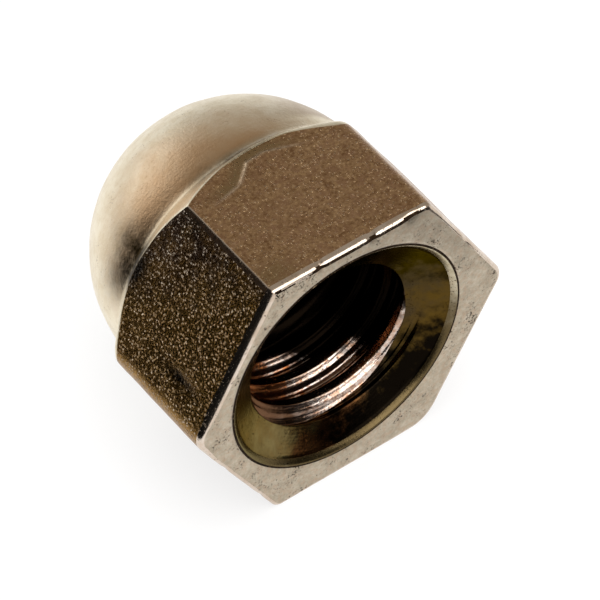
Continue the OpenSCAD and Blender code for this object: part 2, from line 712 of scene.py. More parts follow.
@dataclass
class Hexagon:
    """The forged hexagon: six flats, six corners that are worn unevenly, and the mouth's edge."""

    apothem: float
    # Rounding of the corners, from +X towards +Z
    corner_rounds: tuple[float, ...] = (1.35, 0.75, 0.32, 1.6, 0.7, 2.2)
    # Columns of faces on the flats, in the same order. The upper flat has the forging crease.
    flat_columns: tuple[int, ...] = (30, 96, 46, 28, 26, 30)
    corner_steps: int = 8
    # Rounding of the mouth's edge along each flat, from the one after +X, and how fast it
    # changes near a corner, per width of a flat
    edge_rounds: tuple[float, ...] = (0.25, 0.42, 0.45, 0.22, 0.25, 0.3)
    edge_rate: float = 6.0
    edge_steps: int = 6
    # Rows of faces on the flats, and how strongly they crowd half way along
    flat_rows: int = 74
    row_crowding: float = 0.35
    # Rounding of the shoulder's edge on the flats and at each corner, and how fast it changes
    flat_end_round: float = 0.25
    corner_end_rounds: tuple[float, ...] = (0.6, 1.4, 0.3, 0.9, 0.6, 0.8)
    end_rate: float = 3.0
    end_steps: int = 5
    # The sharpest corner's middle columns are painted pale, as a highlight along it, but not some
    # columns at each side. Those at its far side are painted dark, as shade.
    bright_corner: int = 2
    side_columns: int = 3
    # The flat that kept its scale and is painted darker as shade, and the columns of the corner
    # after it that are painted the same
    scaled_shaded_flat: int = 2
    scaled_shaded_beyond: int = 6
    # The flat whose mouth edge has a painted dark line, as shade on its rounded edge, and the steps
    # of the edge that the line covers: where the flat starts, how many it loses along the flat, how
    # far it wanders, how often it does so in a millimetre, and the most there are
    edge_shade_flat: int = 1
    edge_shade_start: float = 2.1
    edge_shade_loss: float = 1.3
    edge_shade_wander: float = 2.4
    edge_shade_detail: float = 1.3
    edge_shade_most: int = 3

    def __post_init__(self) -> None:
        """Draws the outline, seen along the axis."""
        points, edges, ends, finishes, edge_shade_counts = [], [], [], [], []
        for side, flat in enumerate(self.flat_columns):
            following = (side + 1) % len(self.flat_columns)
            middle = self.edge_rounds[side]
            shared = (middle + self.edge_rounds[side - 1]) / 2
            after = (middle + self.edge_rounds[following]) / 2
            corner_ends = (self.corner_end_rounds[side], self.corner_end_rounds[following])
            arc = self._corner(side)
            points.extend(arc)
            edges.extend([shared] * len(arc))
            ends.extend([self.corner_end_rounds[side]] * len(arc))
            finishes.extend(self._corner_finishes(side, len(arc)))
            edge_shade_counts.extend([0] * len(arc))
            start, end = arc[-1], self._corner(following)[0]
            for step in range(1, flat + 1):
                part = step / (flat + 1)
                across, up = (a + (b - a) * part for a, b in zip(start[:2], end[:2]))
                points.append((across, up, *start[2:]))
                edges.append(self._between((shared, after), middle, part, self.edge_rate))
                ends.append(self._between(corner_ends, self.flat_end_round, part, self.end_rate))
                finishes.append(Finish.SCALED if side == self.scaled_shaded_flat else Finish.FORGED)
                edge_shade_counts.append(self._edge_shade_steps(across, part) if side == self.edge_shade_flat else 0)
        table = np.array(points)
        self.edge_round = np.array(edges)
        self.end_round = np.array(ends)
        self.finishes = finishes
        self.edge_shade_steps = edge_shade_counts
        self.across, self.up = table[:, 0], table[:, 1]
        self.out_across, self.out_up = table[:, 2], table[:, 3]
        self.reach = np.hypot(self.across, self.up)
        turn = np.arctan2(self.up, self.across)
        self.ways_across, self.ways_up = np.cos(turn), np.sin(turn)

    @staticmethod
    def _between(corners: Pair, middle: float, part: float, rate: float) -> float:
        """A rounding on a flat, which nears those of the corners at its ends.

        Args:
            corners: The roundings at the flat's start and at its end.
            middle: The rounding between them.
            part: The share of the flat passed so far.
            rate: How fast the rounding changes, per width of the flat.

        Returns:
            The rounding there.
        """
        leaving = float(eased(np.array(1 - part * rate)))
        nearing = float(eased(np.array((part - 1) * rate + 1)))
        return middle + (corners[0] - middle) * leaving + (corners[1] - middle) * nearing

    def _corner_finishes(self, side: int, count: int) -> list[Finish]:
        """Lists the finishes of a corner's columns.

        Args:
            side: The corner's number.
            count: How many columns it has.

        Returns:
            Their finishes, in the outline's order.
        """
        # The sharpest corner: a painted highlight in its middle and painted shade at its far side
        if side == self.bright_corner:
            bright_line = [Finish.WORN_AND_SHEEN] * (count - 2 * self.side_columns)
            dark_line = [Finish.SHADE_LINES] * self.side_columns
            return [Finish.FORGED] * self.side_columns + bright_line + dark_line
        if side == self.scaled_shaded_flat + 1:
            clean = [Finish.FORGED] * (count - self.scaled_shaded_beyond)
            return [Finish.SCALED] * self.scaled_shaded_beyond + clean
        return [Finish.FORGED] * count

    def _edge_shade_steps(self, across: float, part: float) -> int:
        """How many steps of the mouth's edge the painted dark line covers.

        Args:
            across: The place on the flat, in millimetres.
            part: The share of the flat passed so far.

        Returns:
            Steps, counted from the mouth face.
        """
        wander = self.edge_shade_wander * noise.noise(Vector((across * self.edge_shade_detail, 0.5, 0.5)))
        return max(0, min(self.edge_shade_most, round(self.edge_shade_start - self.edge_shade_loss * part + wander)))

    def _corner(self, side: int) -> list[tuple[float, float, float, float]]:
        """Points on one corner's arc.

        Args:
            side: The corner's number, 0 on +X and counted towards +Z.

        Returns:
            Each point's place and outward direction, across and up.
        """
        rounding = self.corner_rounds[side]
        middle = math.radians(60 * side)
        centre = (self.apothem - rounding) / math.cos(math.radians(30))
        start_across, start_up = centre * math.cos(middle), centre * math.sin(middle)
        made = []
        for step in range(self.corner_steps + 1):
            angle = middle + math.radians(60 * step / self.corner_steps - 30)
            across, up = math.cos(angle), math.sin(angle)
            made.append((start_across + rounding * across, start_up + rounding * up, across, up))
        return made

    def inset(self, distance: float | np.ndarray) -> tuple[np.ndarray, np.ndarray]:
        """The outline moved inwards by a distance."""
        return self.across - self.out_across * distance, self.up - self.out_up * distance


@dataclass
class Dome:
    """The turned shoulder, the hollow blend and the dome."""

    overall_length: float
    radius: float = 9.15
    # The shoulder is a cone at 45 degrees. Its radius and depth add up to this.
    shoulder_sum: float = 19.12
    blend: float = 0.5
    # Points that measure the blend's run
    blend_points: int = 24
    shoulder_rows: int = 13
    rows: int = 40

    def __post_init__(self) -> None:
        """Places the blend's arc so that it touches the shoulder and the dome."""
        self.base = self.overall_length - self.radius
        out = (self.shoulder_sum - self.base) * DIAGONAL + self.blend
        along = math.sqrt((self.radius + self.blend) ** 2 - out**2)
        self.blend_radius = (out + along) * DIAGONAL
        self.blend_depth = self.base + (out - along) * DIAGONAL
        self.foot_radius = self.blend_radius - self.blend * DIAGONAL
        self.rise = math.asin((self.blend_depth - self.base) / (self.radius + self.blend))

    def shoulder(self, reach: float) -> np.ndarray:
        """The shoulder's run, from a point on the hexagon's side to the dome.

        Args:
            reach: The hexagon's radius at that point.

        Returns:
            Evenly spaced radii and depths, one row for each ring, the first on the side.
        """
        start = math.acos(min(1.0, (self.blend_radius - min(reach, self.foot_radius)) / self.blend))
        angles = np.linspace(start, self.rise, self.blend_points)
        radii = self.blend_radius - self.blend * np.cos(angles)
        depths = self.blend_depth - self.blend * np.sin(angles)
        if reach > self.foot_radius:
            radii = np.append(reach, radii)
            depths = np.append(self.shoulder_sum - reach, depths)
        run = np.append(0, np.cumsum(np.hypot(np.diff(radii), np.diff(depths))))
        stops = np.linspace(0, run[-1], self.shoulder_rows + 1)
        return np.stack([np.interp(stops, run, radii), np.interp(stops, run, depths)], axis=1)


@dataclass
class TappedHole:
    """The countersink, the tapped bore and the drill's point, a little off the nut's axis."""

    across: float = -0.33
    up: float = 0.3
    # The cone's radius, and the rim's outside its break, which is painted pale as a sheen
    cone_radius: float = 7.62
    rim_radius: float = 7.99
    break_depth: float = 0.4
    break_bulge: float = 0.05
    # Rings of the break, as shares of its width, and the finish after each. The last strip is
    # painted dark, as shade.
    break_rings: tuple[tuple[float, Finish], ...] = (
        (0.1, Finish.RIM),
        (0.35, Finish.RIM),
        (0.65, Finish.RIM),
        (0.9, Finish.SHADE_LINES),
    )
    # Rings of the corner between the rim and the mouth, whose first strips are painted dark as
    # shade: how far outside the rim, how deep, and the finish after each
    corner_rings: tuple[tuple[float, float, Finish], ...] = (
        (0.0, 0.04, Finish.SHADE_LINES),
        (0.05, 0.05, Finish.SHADE_LINES),
        (0.11, 0.05, Finish.FACED),
        (0.18, 0.02, Finish.FACED),
        (0.21, 0.0, Finish.FACED),
    )
    minor_radius: float = 5.373
    major_radius: float = 6.35
    pitch: float = 1.954
    cone_depth: float = 1.75
    depth: float = 14.02
    point_depth: float = 17.25
    point_rows: int = 6
    # Depth at which the groove's middle passes +X
    start: float = 1.1
    # Rows follow the thread closely down to this depth, and loosely below it
    seen_depth: float = 6.2
    fine_row: float = 0.06
    loose_row: float = 0.25
    # Rows follow the thread where it breaks through the cone, out to this radius
    broken_radius: float = 6.5
    broken_row: float = 0.045
    cone_rows: int = 8

    def profile(self) -> list[tuple[float, float, Finish]]:
        """The hole's half section, from the drill's point up to the rim.

        Returns:
            Each ring's radius, depth and finish.
        """
        rows = []
        for step in range(1, self.point_rows):
            part = step / self.point_rows
            depth = self.point_depth + (self.depth - self.point_depth) * part
            rows.append((self.minor_radius * part, depth, Finish.TAPPED))
        loose = round((self.depth - self.seen_depth) / self.loose_row)
        fine = round((self.seen_depth - self.cone_depth) / self.fine_row)
        below = np.linspace(self.depth, self.seen_depth, loose, endpoint=False)
        above = np.linspace(self.seen_depth, self.cone_depth, fine, endpoint=False)
        for depth in np.append(below, above):
            rows.append((self.minor_radius, depth, Finish.TAPPED))
        broken = round((self.broken_radius - self.minor_radius) / self.broken_row)
        radii = np.linspace(self.minor_radius, self.broken_radius, broken, endpoint=False)
        whole = np.linspace(self.broken_radius, self.cone_radius, self.cone_rows)
        for radius in np.append(radii, whole):
            part = (radius - self.minor_radius) / (self.cone_radius - self.minor_radius)
            depth = self.cone_depth + (self.break_depth - self.cone_depth) * part
            rows.append((radius, depth, Finish.COUNTERSUNK))
        for part, finish in self.break_rings:
            radius = self.cone_radius + (self.rim_radius - self.cone_radius) * part
            depth = self.break_depth * (1 - part) - self.break_bulge * math.sin(math.pi * part)
            rows.append((radius, depth, finish))
        for out, depth, finish in self.corner_rings:
            rows.append((self.rim_radius + out, depth, finish))
        return rows


@dataclass(frozen=True)
class Spot:
    """A soft-edged spot: where it is, how far it reaches each way and how strong it is."""

    place: Triple
    reach: Triple
    strength: float

    def at(self, points: np.ndarray) -> np.ndarray:
        """The spot's strength at each point."""
        away = (points - np.array(self.place)) / np.array(self.reach)
        return self.strength * np.exp(-np.sum(away**2, axis=1))


@dataclass(frozen=True)
class ForgingCrease:
    """A lap that forging folded into the upper flat: the metal past it lies a step lower."""

    # Its route on the flat, as X and Y, from left to right, and how fast it sets in and dies
    # out, per length of the route
    route: tuple[Pair, ...] = (
        (-4.7, -2.7),
        (-3.3, -2.4),
        (-2.2, -2.1),
        (-1.5, -1.5),
        (-0.9, -0.95),
        (0.3, -0.85),
        (1.5, -1.3),
        (3.3, -2.0),
    )
    start_rate: float = 5.0
    end_rate: float = 4.0
    # How far the metal past it drops, over what width, how far off it is level again, and the
    # width of that rise
    step: float = 0.13
    width: float = 0.18
    step_reach: float = 1.6
    step_rise: float = 1.2
    # The lip's height, and the share of it by which the metal past the lip is hollow
    lip: float = 0.06
    hollow: float = 0.6
    # The highlight painted on the lip: its width and its strength
    highlight_width: float = 0.12
    highlight_strength: float = 0.6
    # The strip of painted shade past it: over what width it sets in, how far it reaches, the
    # width of its soft end, and its strength
    shade_width: float = 0.2
    shade_reach: float = 1.1
    shade_end: float = 0.7
    shade_strength: float = 0.8

    def near(self, points: np.ndarray) -> tuple[np.ndarray, np.ndarray, np.ndarray]:
        """Measures points of the upper flat against the route.

        Args:
            points: Places on the flat, in millimetres.

        Returns:
            Each point's distance from the route, whether it lies past it, and how much of the
            crease's strength is left there.
        """
        best = np.full(len(points), np.inf)
        side = np.zeros(len(points))
        fade = np.zeros(len(points))
        spans = list(zip(self.route, self.route[1:]))
        for number, (start, end) in enumerate(spans):
            run = np.array(end) - np.array(start)
            away = points[:, :2] - np.array(start)
            part = np.clip(away @ run / (run @ run), 0, 1)
            off = away - part[:, None] * run
            far = np.hypot(off[:, 0], off[:, 1])
            nearer = far < best
            best = np.where(nearer, far, best)
            turned = run[0] * away[:, 1] - run[1] * away[:, 0]
            side = np.where(nearer, np.sign(turned), side)
            along = (number + part) / len(spans)
            left = eased(along * self.start_rate) * eased((1 - along) * self.end_rate)
            fade = np.where(nearer, left, fade)
        return best, side > 0, fade

    def sink(self, points: np.ndarray) -> np.ndarray:
        """How far each point of the upper flat sinks.

        Args:
            points: Places on the flat, in millimetres.

        Returns:
            The depth at each point, less than 0 on the crease's lip.
        """
        best, past, fade = self.near(points)
        drop = eased(best / self.width) * eased((self.step_reach - best) / self.step_rise)
        lip = np.exp(-((best / self.width) ** 2)) * np.where(past, -self.hollow, 1.0)
        return fade * (self.step * np.where(past, drop, 0) - self.lip * lip)

    def painted_highlight(self, points: np.ndarray) -> np.ndarray:
        """How strong the highlight painted on the crease's lip is at each point, from 0 to 1."""
        best, _, fade = self.near(points)
        return fade * np.exp(-((best / self.highlight_width) ** 2)) * self.highlight_strength

    def shade_and_grease(self, points: np.ndarray) -> np.ndarray:
        """How much shade is painted on the metal past the crease at each point.

        Args:
            points: Places on the flat, in millimetres.

        Returns:
            From 0, as bright as the rest, to 1.
        """
        best, past, fade = self.near(points)
        ending = eased((self.shade_reach - best) / self.shade_end)
        dull = fade * eased(best / self.shade_width) * ending
        return np.where(past, dull, 0) * self.shade_strength


# In metres: a radius that keeps a division safe, and the depth at which tapping starts
LEAST_RADIUS = 1e-6
LEAST_DEPTH = 1e-5


@dataclass
class ThreadTap:
    """Cuts the thread into the plain bore, with a Geometry Nodes tree."""

    hole: TappedHole
    axis_height: float
    mouth: float
    # How far the tap's rounded edges soften the thread
    soften: float = 0.35
    # Half the width of the groove's root, and how far it is softened, in pitches
    root_half: float = 1 / 16
    root_soften: float = 0.05
    # How far the groove cuts into the cone before it counts as tapped
    broken: float = 0.3
    # How far outside the plain bore a point still counts as tapped
    slack: float = 0.02
    # The tap's chatter: fine ridges along the flanks, their spacing in pitches and their height
    ridge: float = 0.13
    ridge_height: float = 0.055
    # Depth at which the last full turn ends, and how long the run-out is
    full_depth: float = 10.5
    run_out: float = 1.6

    def sizes(self) -> dict[str, float]:
        """The tree's inputs in metres, by name."""
        hole = self.hole
        return {
            "Axis X": hole.across * MM,
            "Axis Z": (self.axis_height + hole.up) * MM,
            "Mouth Y": self.mouth * MM,
            "Major Radius": hole.major_radius * MM,
            "Minor Radius": hole.minor_radius * MM,
            "Pitch": hole.pitch * MM,
            "Start": hole.start * MM,
            "Soften": self.soften * MM,
            "Root Soften": self.root_soften,
            "Break": self.broken * MM,
            "Ridge": self.ridge,
            "Ridge Height": self.ridge_height * MM,
            "Full Depth": self.full_depth * MM,
            "Run Out": self.run_out * MM,
        }

    def tree(self, tapped: bpy.types.Material) -> bpy.types.NodeTree:
        """Builds the tree.

        A point of the bore moves outwards to the groove's profile where the groove is wider
        than the bore. The groove is a 60 degree V with a narrow flat, wound right-handed.

        Args:
            tapped: The material of the threaded wall.

        Returns:
            The node group.
        """
        tree = bpy.data.node_groups.new("tap_the_hole", "GeometryNodeTree")
        face = tree.interface
        face.new_socket("Nut", in_out="INPUT", socket_type="NodeSocketGeometry")
        for name in self.sizes():
            face.new_socket(name, in_out="INPUT", socket_type="NodeSocketFloat")
        face.new_socket("Nut", in_out="OUTPUT", socket_type="NodeSocketGeometry")
        given = add(tree, "NodeGroupInput").outputs

        calc = partial(arithmetic, tree)

        position = add(tree, "GeometryNodeInputPosition").outputs[0]
        place = add(tree, "ShaderNodeSeparateXYZ", {0: position})
        across = calc("SUBTRACT", place.outputs["X"], given["Axis X"])
        up = calc("SUBTRACT", place.outputs["Z"], given["Axis Z"])
        depth = calc("SUBTRACT", place.outputs["Y"], given["Mouth Y"])
        squares = calc("ADD", calc("MULTIPLY", across, across), calc("MULTIPLY", up, up))
        radius = calc("SQRT", squares)
        turns = calc("DIVIDE", calc("ARCTAN2", up, across), FULL_TURN)

        # Pitches from the middle of the nearest turn of the groove, from 0 to a half
        lead = calc("DIVIDE", calc("SUBTRACT", depth, given["Start"]), given["Pitch"])
        passed = calc("WRAP", calc("ADD", lead, turns), 1.0, 0.0)
        off_groove = calc("SUBTRACT", 0.5, calc("ABSOLUTE", calc("SUBTRACT", passed, 0.5)))
        flank = calc("SUBTRACT", off_groove, self.root_half)
        flank = calc("SMOOTH_MAX", flank, 0.0, given["Root Soften"])
        # A 60 degree V rises by this much for each width of flank
        rise = calc("MULTIPLY", calc("MULTIPLY", flank, given["Pitch"]), math.sqrt(3))
        wave = calc("SINE", calc("MULTIPLY", calc("DIVIDE", flank, given["Ridge"]), FULL_TURN))
        rise = calc("ADD", rise, calc("MULTIPLY", wave, given["Ridge Height"]))
        left = calc("DIVIDE", calc("SUBTRACT", depth, given["Full Depth"]), given["Run Out"])
        fading = calc("MULTIPLY", calc("MAXIMUM", left, 0.0), given["Pitch"])
        groove = calc("SUBTRACT", calc("SUBTRACT", given["Major Radius"], rise), fading)
        cut = calc("SMOOTH_MAX", radius, groove, given["Soften"])
        scale = calc("DIVIDE", cut, calc("MAXIMUM", radius, LEAST_RADIUS))

        moved = add(
            tree,
            "ShaderNodeCombineXYZ",
            {
                "X": calc("ADD", calc("MULTIPLY", across, scale), given["Axis X"]),
                "Y": place.outputs["Y"],
                "Z": calc("ADD", calc("MULTIPLY", up, scale), given["Axis Z"]),
            },
        )
        within = calc("LESS_THAN", radius, calc("ADD", given["Major Radius"], given["Pitch"]))
        above = calc("LESS_THAN", depth, calc("ADD", given["Full Depth"], given["Run Out"]))
        inside = calc("GREATER_THAN", depth, LEAST_DEPTH)
        chosen = calc("MULTIPLY", calc("MULTIPLY", within, above), inside)
        tapping = add(
            tree,
            "GeometryNodeSetPosition",
            {"Geometry": given["Nut"], "Selection": chosen, "Position": moved.outputs[0]},
        )
        real = add(tree, "GeometryNodeRealizeInstances", {0: tapping.outputs[0]})
        # What was tapped is the bore, and the groove where it breaks well through the cone
        bored = calc("ADD", given["Minor Radius"], self.slack * MM)
        edge = calc("MAXIMUM", bored, calc("SUBTRACT", groove, given["Break"]))
        wall = calc("MULTIPLY", chosen, calc("LESS_THAN", radius, edge))
        dressed = add(
            tree,
            "GeometryNodeSetMaterial",
            {"Geometry": real.outputs[0], "Selection": wall, "Material": tapped},
        )
        add(tree, "NodeGroupOutput", {0: dressed.outputs[0]})
        return tree

    def cut(self, blank: bpy.types.Object, tapped: bpy.types.Material) -> bpy.types.Mesh:
        """Taps a blank.

        Args:
            blank: The nut with its plain bore, in the scene.
            tapped: The material of the threaded wall.

        Returns:
            The tapped nut as a plain mesh.
        """
        tap = blank.modifiers.new("tap", "NODES")
        tap.node_group = self.tree(tapped)
        sizes = self.sizes()
        for item in tap.node_group.interface.items_tree:
            if item.in_out == "INPUT" and item.name in sizes:
                tap[item.identifier] = sizes[item.name]
        blank.update_tag()
        seen = blank.evaluated_get(bpy.context.evaluated_depsgraph_get())
        mesh = bpy.data.meshes.new_from_object(seen)
        blank.modifiers.remove(tap)
        return mesh


@dataclass
class CapNut:
    """The whole nut: one forged piece."""

    low: Vector
    high: Vector
    # The swells that forging left: their height, their size, the noise's dimension, lacunarity
    # and octaves, and over what lengths they set in at the mouth and end at the crown
    swell: float = 0.035
    swell_size: float = 3.0
    swell_noise: tuple[float, float, int] = (1.0, 2.0, 2)
    swell_start: float = 0.8
    swell_end: float = 2.0
    # Wear spares the mouth within this radius, and starts again at the depth of the dome
    mouth_radius: float = 8.55
    dome_depth: float = 12.25
    # It spares the hole within this radius and down to this depth
    hole_radius: float = 6.2
    hole_depth: float = 17.35
    # Rings of the mouth face, as shares of the way from the rim to the edge
    mouth_rings: tuple[float, ...] = (0.06, 0.2, 0.38, 0.56, 0.74, 0.9, 0.97)
    crease: ForgingCrease = field(default_factory=ForgingCrease)
    # Small hollows. A dent's strength is its depth.
    dents: tuple[Spot, ...] = (
        # Two knocks in the mouth edge of the upper flat
        Spot((-2.1, -9.6, 19.0), (0.22, 0.4, 0.4), 0.16),
        Spot((1.5, -9.5, 19.0), (0.28, 0.4, 0.4), 0.18),
        Spot((4.3, -9.7, 18.9), (0.5, 0.3, 0.4), 0.1),
        # A nick in the upper flat by the sharp corner
        Spot((-5.0, -5.2, 19.0), (0.14, 0.35, 0.3), 0.12),
        # Knocks round the mouth
        Spot((-8.9, -9.7, 6.0), (0.35, 0.3, 0.35), 0.08),
        Spot((-6.6, -9.7, 1.8), (0.3, 0.3, 0.3), 0.07),
        Spot((8.3, -9.7, 14.2), (0.3, 0.3, 0.35), 0.06),
        # A groove in the scaled flat
        Spot((-9.8, -6.6, 11.6), (0.4, 1.3, 0.4), 0.12),
    )
    # Spots of painted shade, and one of old grease. Strength is a share of the dark tone.
    shade_and_grease_spots: tuple[Spot, ...] = (
        # Old grease on the scaled flat's corner at the mouth, and painted shade in its groove
        Spot((-4.7, -8.7, 19.0), (1.3, 0.9, 0.6), 0.7),
        Spot((-9.8, -6.6, 11.6), (0.4, 1.3, 0.4), 1.1),
        # Painted shade in the hollow of the shoulder and on the dome behind the scaled flat
        Spot((-8.2, -0.1, 14.2), (1.3, 0.9, 1.4), 1.3),
        Spot((-7.9, 1.5, 14.9), (1.5, 1.3, 1.7), 0.6),
        Spot((-9.0, 1.6, 12.0), (1.4, 1.2, 1.6), 0.3),
        # Painted shade on the shoulder behind the upper flat
        Spot((-3.2, 0.4, 18.6), (1.4, 0.7, 1.0), 0.5),
        Spot((-1.0, 0.15, 18.9), (1.6, 0.4, 0.8), 0.55),
        Spot((1.6, 0.1, 18.9), (1.4, 0.4, 0.8), 0.3),
    )

    def __post_init__(self) -> None:
        """Takes the nut's main sizes from the frame."""
        self.axis_height = (self.low.z + self.high.z) / 2 / MM
        self.mouth = self.low.y / MM
        self.hexagon = Hexagon(apothem=(self.high.z - self.low.z) / 2 / MM)
        self.dome = Dome(overall_length=(self.high.y - self.low.y) / MM)
        self.hole = TappedHole()

    def _hole_rings(self) -> list[Ring]:
        """Rings of the hole.

        Returns:
            The rings, from the drill's point to the rim.
        """
        rings = []
        for radius, depth, finish in self.hole.profile():
            across = self.hole.across + radius * self.hexagon.ways_across
            up = self.hole.up + radius * self.hexagon.ways_up
            rings.append(Ring(across, up, np.full(len(up), float(depth)), finish))
        return rings

    def _mouth_rings(self, rim: Ring) -> list[Ring]:
        """Rings of the mouth face and of its rounded outer edge.

        Args:
            rim: The last ring of the hole.

        Returns:
            The rings, from the rim outwards.
        """
        shape = self.hexagon
        edge_across, edge_up = shape.inset(shape.edge_round)
        rings = []
        for part in self.mouth_rings:
            across = rim.across + (edge_across - rim.across) * part
            up = rim.up + (edge_up - rim.up) * part
            rings.append(Ring(across, up, np.zeros(len(up)), Finish.FACED))
        for step in range(shape.edge_steps):
            angle = math.radians(90 * step / shape.edge_steps)
            across, up = shape.inset(shape.edge_round * (1 - math.sin(angle)))
            depth = shape.edge_round * (1 - math.cos(angle))
            rings.append(Ring(across, up, depth, Finish.WORN_AND_SHEEN))
        return rings

    def _side_rings(self) -> list[Ring]:
        """Rings of the flats and corners, up to the edge of the shoulder.

        Returns:
            The rings, from the mouth on. Each column has a finish of its own here.
        """
        shape = self.hexagon
        start = shape.edge_round
        runs = self.dome.shoulder_sum - shape.reach - start
        cut = shape.end_round * HALF_BEND / runs
        even = np.linspace(0, 1, shape.flat_rows)
        spacing = even - shape.row_crowding * (even - 0.5) * even * (1 - even)
        rings = []
        for part in spacing:
            depth = start + runs * (1 - cut) * part
            rings.append(Ring(shape.across, shape.up, depth, Finish.FORGED))
        return rings

    def _shoulder_rings(self) -> list[Ring]:
        """Rings of the shoulder, its hollow blend and the dome.

        Returns:
            The rings, up to the crown.
        """
        shape, dome = self.hexagon, self.dome
        path = np.array([dome.shoulder(reach) for reach in shape.reach])
        runs = []
        # The flat's end is eased into the shoulder by an arc
        tangent = shape.end_round * HALF_BEND
        for step in range(1, shape.end_steps + 1):
            turn = math.radians(45 * step / shape.end_steps)
            radius = shape.reach - shape.end_round * (1 - math.cos(turn))
            runs.append((radius, path[:, 0, 1] - tangent + shape.end_round * math.sin(turn)))
        # The rest of the shoulder starts where each column's arc ended
        ended = 1 - np.clip((radius - path[:, -1, 0]) / (path[:, 0, 0] - path[:, -1, 0]), 0, 1)
        column = np.arange(len(ended))
        for row in range(1, dome.shoulder_rows):
            part = (ended + (1 - ended) * row / dome.shoulder_rows) * dome.shoulder_rows
            whole = np.minimum(part.astype(int), dome.shoulder_rows - 1)
            rest = (part - whole)[:, None]
            place = path[column, whole] * (1 - rest) + path[column, whole + 1] * rest
            runs.append((place[:, 0], place[:, 1]))
        for angle in np.linspace(dome.rise, math.pi / 2, dome.rows, endpoint=False):
            depth = dome.base + dome.radius * math.sin(angle)
            runs.append((dome.radius * math.cos(angle), np.full(len(column), depth)))
        rings = []
        for radius, depth in runs:
            across, up = shape.ways_across * radius, shape.ways_up * radius
            rings.append(Ring(across, up, depth, Finish.TURNED))
        return rings

    def _worn(self, points: np.ndarray, normals: np.ndarray) -> np.ndarray:
        """Adds what forging and handling did: swells, the crease and the dents.

        Args:
            points: The nut's points, in millimetres.
            normals: Their outward directions.

        Returns:
            The worn points.
        """
        hole = self.hole
        across, up = points[:, 0], points[:, 2] - self.axis_height
        depth = points[:, 1] - self.mouth
        radius = np.hypot(across, up)
        bored = np.hypot(across - hole.across, up - hole.up) < hole.major_radius
        bored &= (radius < self.hole_radius) & (depth < self.hole_depth)
        outer = ((radius > self.mouth_radius) | (depth > self.dome_depth)) & ~bored
        places = [Vector(point) / self.swell_size for point in points]
        waves = np.array([noise.fractal(place, *self.swell_noise) for place in places])
        sink = self.swell * (0.5 + waves)
        to_crown = self.high.y / MM - points[:, 1]
        sink *= eased(depth / self.swell_start) * eased(to_crown / self.swell_end)
        sink += np.where(normals[:, 2] > UPWARDS, self.crease.sink(points), 0)
        for dent in self.dents:
            sink += dent.at(points)
        return points - normals * np.where(outer, sink, 0)[:, None]

    def _mask(self, mesh: bpy.types.Mesh, points: np.ndarray, normals: np.ndarray) -> None:
        """Marks where a highlight is painted on the crease's lip, and where shade is painted and
        grease lies.

        Args:
            mesh: The blank's mesh, which gets a value at each point for both.
            points: The nut's points, in millimetres.
            normals: Their outward directions.
        """
        upper = normals[:, 2] > UPWARDS
        shade_and_grease = np.where(upper, self.crease.shade_and_grease(points), 0)
        for spot in self.shade_and_grease_spots:
            shade_and_grease += spot.at(points)
        painted_highlight = np.where(upper, self.crease.painted_highlight(points), 0)
        for name, share in ((PAINTED_HIGHLIGHT, painted_highlight), (SHADE_AND_GREASE, shade_and_grease)):
            mask = mesh.attributes.new(name, "FLOAT", "POINT")
            mask.data.foreach_set("value", share)

    def _blank(self) -> bpy.types.Object:
        """Builds the nut with a plain bore.

        Returns:
            The blank, in the scene.
        """
        rings = self._hole_rings()
        rings += self._mouth_rings(rings[-1])
        rings += self._side_rings()
        rings += self._shoulder_rings()
        columns = len(self.hexagon.reach)
        grid = np.array([np.stack([r.across, r.depth, r.up], axis=1) for r in rings])
        points = grid.reshape(-1, 3)
        tip = [self.hole.across, self.hole.point_depth, self.hole.up]
        crown = [0.0, self.dome.overall_length, 0.0]
        points = np.vstack([points, [tip, crown]])
        points = points + np.array([0.0, self.mouth, self.axis_height])

        faces, finishes = [], []
        tip_number, crown_number = len(points) - 2, len(points) - 1
        edge = next(row for row, ring in enumerate(rings) if ring.finish is Finish.WORN_AND_SHEEN)
        for column in range(columns):
            beside = (column + 1) % columns
            faces.append((tip_number, column, beside))
            finishes.append(Finish.TAPPED.value)
            for row in range(len(rings) - 1):
                here, above = row * columns, (row + 1) * columns
                faces.append((here + column, above + column, above + beside, here + beside))
                finish = rings[row].finish
                if finish is Finish.FORGED:
                    finish = self.hexagon.finishes[column]
                # On one flat the first steps of the mouth's edge are painted dark, as shade
                elif 0 <= row - edge < self.hexagon.edge_shade_steps[column]:
                    finish = Finish.SHADE_LINES
                finishes.append(finish.value)
            last = (len(rings) - 1) * columns
            faces.append((last + column, crown_number, last + beside))
            finishes.append(Finish.TURNED.value)

        mesh = bpy.data.meshes.new("cap_nut_blank")
        mesh.from_pydata(points.tolist(), [], faces)
        normals = np.zeros(len(points) * 3)
        mesh.vertex_normals.foreach_get("vector", normals)
        normals = normals.reshape(-1, 3)
        self._mask(mesh, points, normals)
        worn = self._worn(points, normals) * MM
        mesh.vertices.foreach_set("co", worn.ravel())
        for finish in Finish:
            mesh.materials.append(FINISHES[finish].material())
        mesh.polygons.foreach_set("material_index", finishes)
        mesh.shade_smooth()
        mesh.update()
        return placed("cap_nut_blank", mesh)

    def build(self) -> bpy.types.Object:
        """Makes the nut: the blank is formed, its hole is tapped and it takes the CAD node's place.

        Returns:
            The finished piece.
        """
        blank = self._blank()
        tapped = blank.data.materials[Finish.TAPPED.value]
        mesh = ThreadTap(self.hole, self.axis_height, self.mouth).cut(blank, tapped)
        bpy.data.objects.remove(blank)
        mesh.name = "cap_nut_plated"
        piece = placed("cap_nut_plated", mesh)
        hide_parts(NODE)
        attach(piece, "root")
        mesh.calc_loop_triangles()
        log.info("%s: %d triangles", piece.name, len(mesh.loop_triangles))
        return piece


